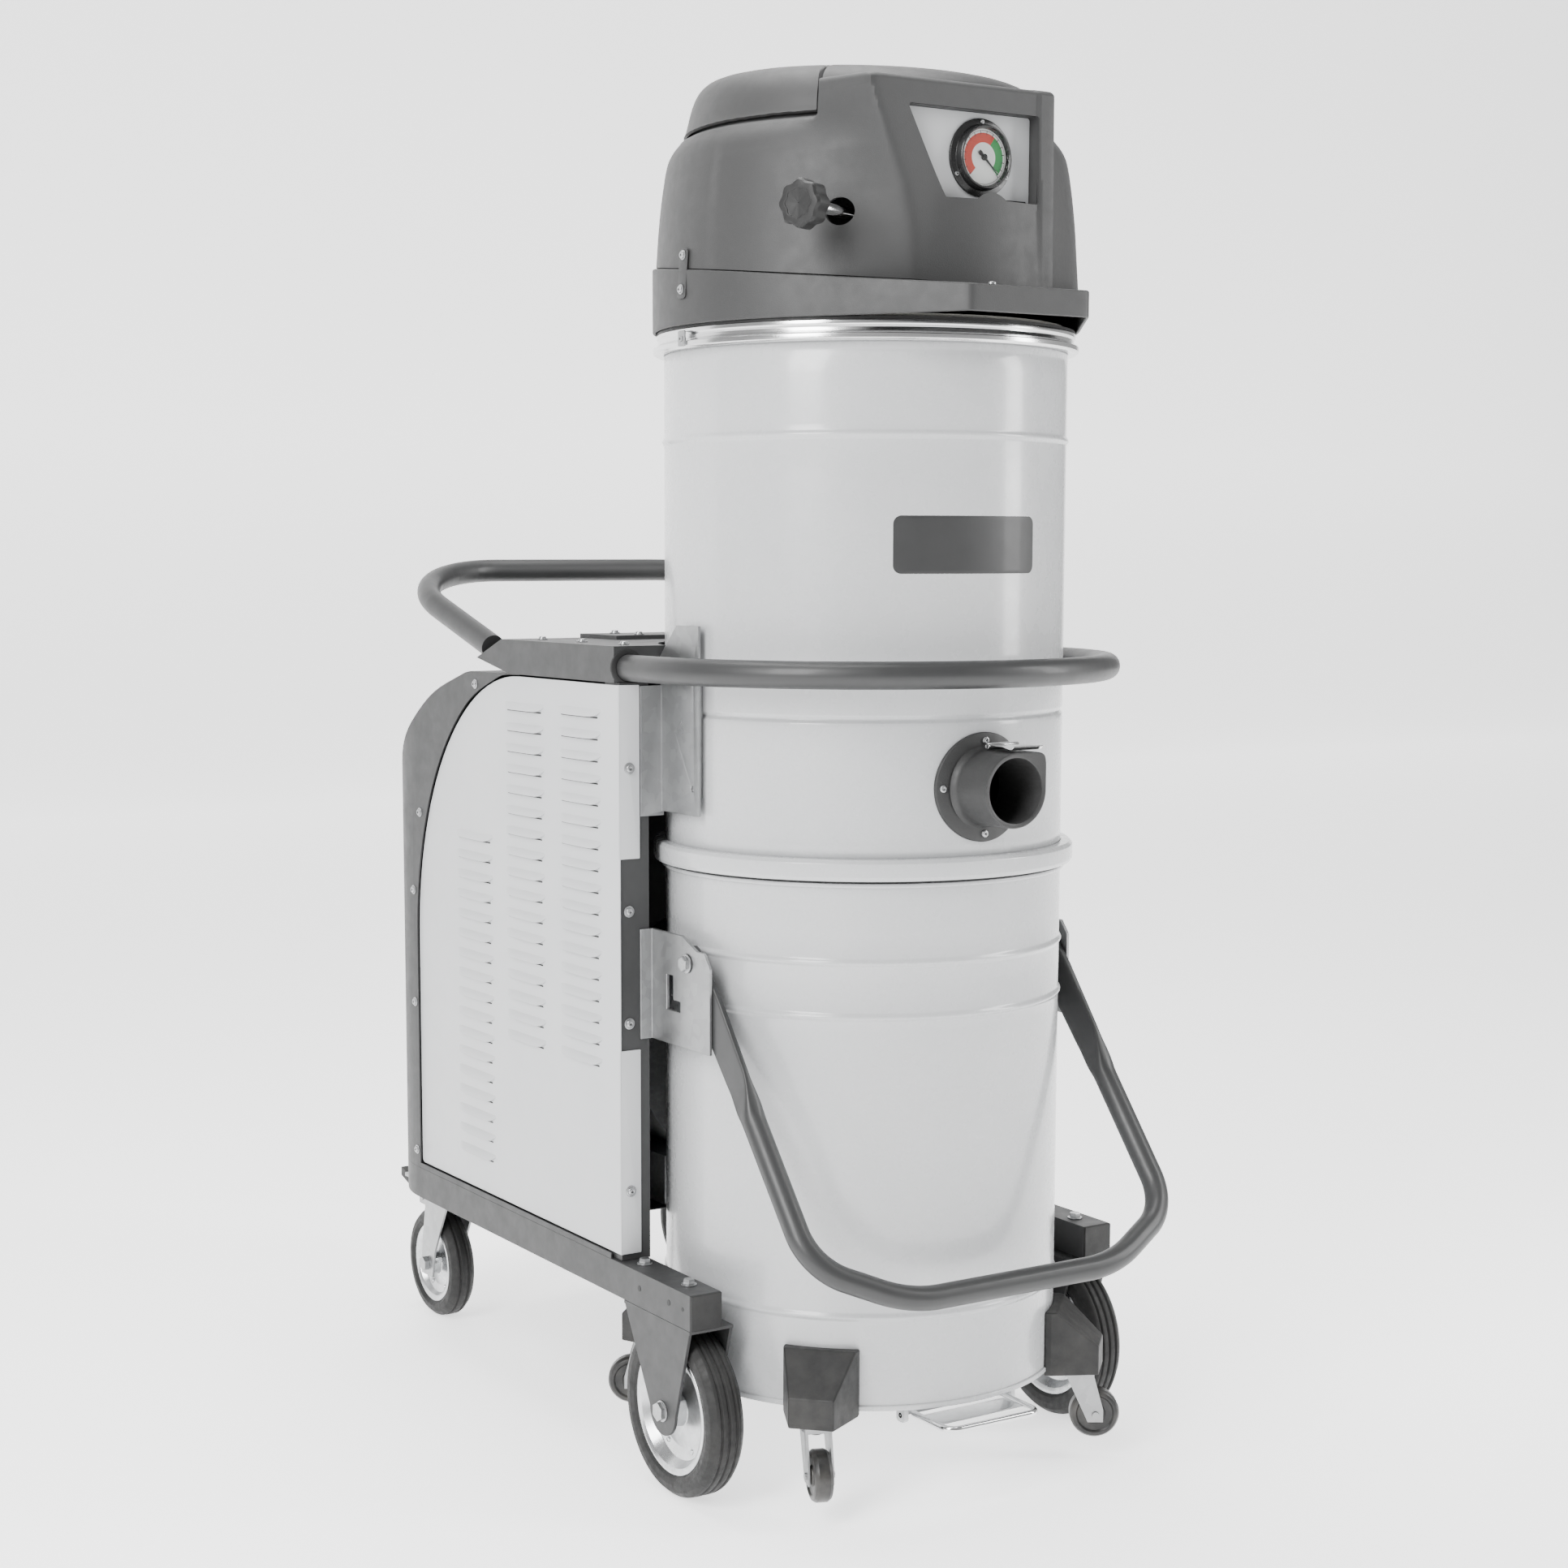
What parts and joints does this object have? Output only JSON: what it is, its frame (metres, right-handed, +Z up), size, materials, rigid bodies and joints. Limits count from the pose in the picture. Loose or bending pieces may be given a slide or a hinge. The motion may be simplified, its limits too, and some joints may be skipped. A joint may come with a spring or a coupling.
{
  "type": "industrial vacuum cleaner",
  "caption": "Wheeled industrial vacuum: upright filter chamber over a drop-down dust drum, louvred cabinet behind, lifting lever, hoop guard, shaker knob and vacuum gauge.",
  "frame": {"origin": "on the floor, under the middle of the machine's bounding box", "axes": "+Z up, front (hose inlet and gauge) towards -Y, +X to the machine's right seen from the front"},
  "size_m": [0.609, 1.1318, 1.602],
  "materials": {
    "light_enamel": "glossy light grey powder coat",
    "dark_enamel": "satin mid grey powder coat",
    "hood_plastic": "fine grained mid grey moulding",
    "inlet_plastic": "dark grey moulding",
    "black_plastic": "black moulding",
    "panel_sheet": "pale grey instrument panel",
    "polished_steel": "polished steel ring",
    "zinc_plate": "zinc plated and galvanised steel",
    "tyre_rubber": "black rubber tyre",
    "small_wheel_plastic": "black nylon wheel",
    "gauge_black": "black gauge case",
    "needle_black": "black pointer",
    "seal_rubber": "black seal",
    "filter_cloth": "pleated filter cloth",
    "cast_housing": "cast aluminium suction unit",
    "control_grey": "grey control box"
  },
  "bodies": {
    "trolley": {"blower_housing": "cast_housing", "cabinet_posts": "dark_enamel", "chamber_brackets": "zinc_plate", "chassis_frame": "dark_enamel", "clamp_ring": "light_enamel", "control_box": "control_grey", "filter_chamber": "light_enamel", "flange_ring": "polished_steel", "frame_screws": "zinc_plate", "front_axles": "zinc_plate", "front_wheel_forks": "dark_enamel", "gauge_case": "gauge_black", "head_cap": "hood_plastic", "head_hood": "hood_plastic", "head_skirt": "hood_plastic", "hoop_tube": "dark_enamel", "inlet_fitting": "inlet_plastic", "instrument_panel": "panel_sheet", "lever_brackets": "zinc_plate", "motor": "cast_housing", "push_handle": "dark_enamel", "rail_end_caps": "black_plastic", "rear_caster_plates": "zinc_plate", "rear_cover": "dark_enamel", "seals": "seal_rubber", "side_panels": "light_enamel", "suction_duct": "dark_enamel", "switch_plate": "panel_sheet", "top_box": "dark_enamel"},
    "left_front_wheel": {"left_front_tyre": "tyre_rubber", "left_front_rim": "zinc_plate"},
    "right_front_wheel": {"right_front_tyre": "tyre_rubber", "right_front_rim": "zinc_plate"},
    "left_rear_swivel": {"left_rear_fork": "zinc_plate"},
    "right_rear_swivel": {"right_rear_fork": "zinc_plate"},
    "left_rear_wheel": {"left_rear_tyre": "tyre_rubber", "left_rear_rim": "zinc_plate"},
    "right_rear_wheel": {"right_rear_tyre": "tyre_rubber", "right_rear_rim": "zinc_plate"},
    "left_pedal": {"left_brake_pedal": "black_plastic"},
    "right_pedal": {"right_brake_pedal": "black_plastic"},
    "lever": {"lever_bar": "dark_enamel"},
    "dust_container": {"container": "light_enamel", "caster_blocks": "black_plastic"},
    "bail": {"wire_bail": "polished_steel"},
    "shaker": {"shaker_rod": "polished_steel", "shaker_knob": "black_plastic"},
    "filter": {"star_filter": "filter_cloth"},
    "needle": {"gauge_needle": "needle_black"},
    "latch": {"inlet_latch": "polished_steel"},
    "rotor": {"impeller": "cast_housing"},
    "switch": {"switch_knob": "black_plastic"},
    "front_left_drum_swivel": {"front_left_drum_fork": "zinc_plate"},
    "front_left_drum_roller": {"front_left_drum_wheel": "small_wheel_plastic"},
    "front_right_drum_swivel": {"front_right_drum_fork": "zinc_plate"},
    "front_right_drum_roller": {"front_right_drum_wheel": "small_wheel_plastic"},
    "rear_left_drum_swivel": {"rear_left_drum_fork": "zinc_plate"},
    "rear_left_drum_roller": {"rear_left_drum_wheel": "small_wheel_plastic"},
    "rear_right_drum_swivel": {"rear_right_drum_fork": "zinc_plate"},
    "rear_right_drum_roller": {"rear_right_drum_wheel": "small_wheel_plastic"}
  },
  "joints": [
    {"name": "left_front_spin", "type": "hinge", "parent": "trolley", "child": "left_front_wheel", "pos_m": [-0.269, -0.2961, 0.1], "axis": [1, 0, 0], "continuous": true},
    {"name": "left_rear_turn", "type": "hinge", "parent": "trolley", "child": "left_rear_swivel", "pos_m": [-0.205, 0.4309, 0.15], "axis": [0, 0, 1], "continuous": true},
    {"name": "left_rear_spin", "type": "hinge", "parent": "left_rear_swivel", "child": "left_rear_wheel", "pos_m": [-0.205, 0.4759, 0.075], "axis": [1, 0, 0], "continuous": true},
    {"name": "left_brake", "type": "hinge", "parent": "left_rear_swivel", "child": "left_pedal", "pos_m": [-0.205, 0.4869, 0.167], "axis": [1, 0, 0], "range_deg": [0, 6]},
    {"name": "right_front_spin", "type": "hinge", "parent": "trolley", "child": "right_front_wheel", "pos_m": [0.269, -0.2961, 0.1], "axis": [1, 0, 0], "continuous": true},
    {"name": "right_rear_turn", "type": "hinge", "parent": "trolley", "child": "right_rear_swivel", "pos_m": [0.205, 0.4309, 0.15], "axis": [0, 0, 1], "continuous": true},
    {"name": "right_rear_spin", "type": "hinge", "parent": "right_rear_swivel", "child": "right_rear_wheel", "pos_m": [0.205, 0.4759, 0.075], "axis": [1, 0, 0], "continuous": true},
    {"name": "right_brake", "type": "hinge", "parent": "right_rear_swivel", "child": "right_pedal", "pos_m": [0.205, 0.4869, 0.167], "axis": [1, 0, 0], "range_deg": [0, 6]},
    {"name": "lever_swing", "type": "hinge", "parent": "trolley", "child": "lever", "pos_m": [0, -0.2781, 0.603], "axis": [1, 0, 0], "range_deg": [-85, 0]},
    {"name": "container_drop", "type": "slide", "parent": "trolley", "child": "dust_container", "axis": [0, 0, 1], "range_m": [-0.022, 0]},
    {"name": "bail_swing", "type": "hinge", "parent": "dust_container", "child": "bail", "pos_m": [0, -0.4481, 0.1], "axis": [1, 0, 0], "range_deg": [-12, 0]},
    {"name": "shaker_push", "type": "slide", "parent": "trolley", "child": "shaker", "axis": [-0.9108, -0.4129, 0], "range_m": [-0.04, 0]},
    {"name": "filter_shake", "type": "slide", "parent": "trolley", "child": "filter", "axis": [0, 0, 1], "range_m": [0, 0.012]},
    {"name": "needle_turn", "type": "hinge", "parent": "trolley", "child": "needle", "pos_m": [0, -0.4651, 1.476], "axis": [0, -1, 0], "range_deg": [-180, 90]},
    {"name": "latch_lift", "type": "hinge", "parent": "trolley", "child": "latch", "pos_m": [0, -0.4981, 0.8504], "axis": [1, 0, 0], "range_deg": [-35, 0]},
    {"name": "rotor_spin", "type": "hinge", "parent": "trolley", "child": "rotor", "pos_m": [0, 0.0469, 0.45], "axis": [0, 1, 0], "continuous": true},
    {"name": "switch_turn", "type": "hinge", "parent": "trolley", "child": "switch", "pos_m": [0.095, 0.4899, 0.48], "axis": [0, 1, 0], "range_deg": [0, 90]},
    {"name": "front_left_turn", "type": "hinge", "parent": "dust_container", "child": "front_left_drum_swivel", "pos_m": [-0.18526, -0.43836, 0.104], "axis": [0, 0, 1], "continuous": true},
    {"name": "front_left_roll", "type": "hinge", "parent": "front_left_drum_swivel", "child": "front_left_drum_roller", "pos_m": [-0.19176, -0.45622, 0.055], "axis": [0.9397, -0.342, 0], "continuous": true},
    {"name": "front_right_turn", "type": "hinge", "parent": "dust_container", "child": "front_right_drum_swivel", "pos_m": [0.18526, -0.43836, 0.104], "axis": [0, 0, 1], "continuous": true},
    {"name": "front_right_roll", "type": "hinge", "parent": "front_right_drum_swivel", "child": "front_right_drum_roller", "pos_m": [0.20137, -0.44843, 0.055], "axis": [0.5299, 0.848, 0], "continuous": true},
    {"name": "rear_left_turn", "type": "hinge", "parent": "dust_container", "child": "rear_left_drum_swivel", "pos_m": [-0.18526, -0.06784, 0.104], "axis": [0, 0, 1], "continuous": true},
    {"name": "rear_left_roll", "type": "hinge", "parent": "rear_left_drum_swivel", "child": "rear_left_drum_roller", "pos_m": [-0.20137, -0.05777, 0.055], "axis": [-0.5299, -0.848, 0], "continuous": true},
    {"name": "rear_right_turn", "type": "hinge", "parent": "dust_container", "child": "rear_right_drum_swivel", "pos_m": [0.18526, -0.06784, 0.104], "axis": [0, 0, 1], "continuous": true},
    {"name": "rear_right_roll", "type": "hinge", "parent": "rear_right_drum_swivel", "child": "rear_right_drum_roller", "pos_m": [0.20172, -0.05834, 0.055], "axis": [-0.5, 0.866, 0], "continuous": true}
  ],
  "couplings": [
    {"joint": "container_drop", "follows": "lever_swing", "m_per_rad": 0.014829},
    {"joint": "filter_shake", "follows": "shaker_push", "ratio": -0.3}
  ]
}
